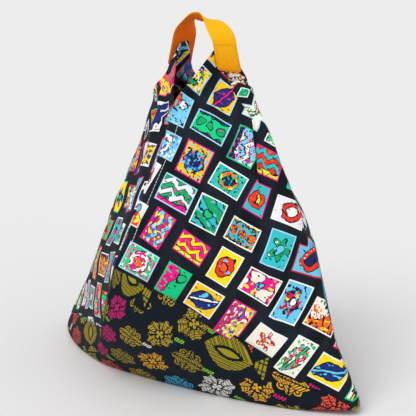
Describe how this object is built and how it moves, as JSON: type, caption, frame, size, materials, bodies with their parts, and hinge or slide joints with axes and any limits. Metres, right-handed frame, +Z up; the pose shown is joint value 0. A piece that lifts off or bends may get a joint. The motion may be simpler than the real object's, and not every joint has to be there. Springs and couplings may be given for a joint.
{
  "type": "bento bag",
  "caption": "Soft lunch bag folded from square cloths: two printed wings lap over a patterned base cloth and meet at tips joined by a short webbing handle.",
  "frame": {"origin": "middle of the flat base, at the lowest point", "axes": "+X along the base towards the pointed corner of the front wing, -Y towards the slit seen from the front, +Z up through the handle"},
  "size_m": [0.4908, 0.3634, 0.465],
  "materials": {
    "woven_cotton": "navy cotton with woven rosettes, matt",
    "printed_cotton": "navy cotton with coloured cards, matt",
    "hem_thread": "pale spun thread",
    "webbing": "amber webbing, matt",
    "ribbon": "orange facing, matt",
    "webbing_thread": "amber thread"
  },
  "bodies": {
    "bag": {"base_cloth": "woven_cotton", "base_lining": "woven_cotton", "front_wing": "printed_cotton", "front_wing_lining": "printed_cotton", "front_slit_hem_stitch": "hem_thread", "front_under_hem_stitch": "hem_thread", "back_wing": "printed_cotton", "back_wing_lining": "printed_cotton", "back_slit_hem_stitch": "hem_thread", "back_under_hem_stitch": "hem_thread"},
    "handle": {"handle_webbing": "webbing", "handle_facing": "ribbon", "front_end_stitch": "webbing_thread", "back_end_stitch": "webbing_thread"}
  },
  "joints": [
    {"name": "handle_swing", "type": "hinge", "parent": "bag", "child": "handle", "pos_m": [0, 0, 0.413], "axis": [0.9848, -0.1736, 0], "range_deg": [-30, 30]}
  ]
}
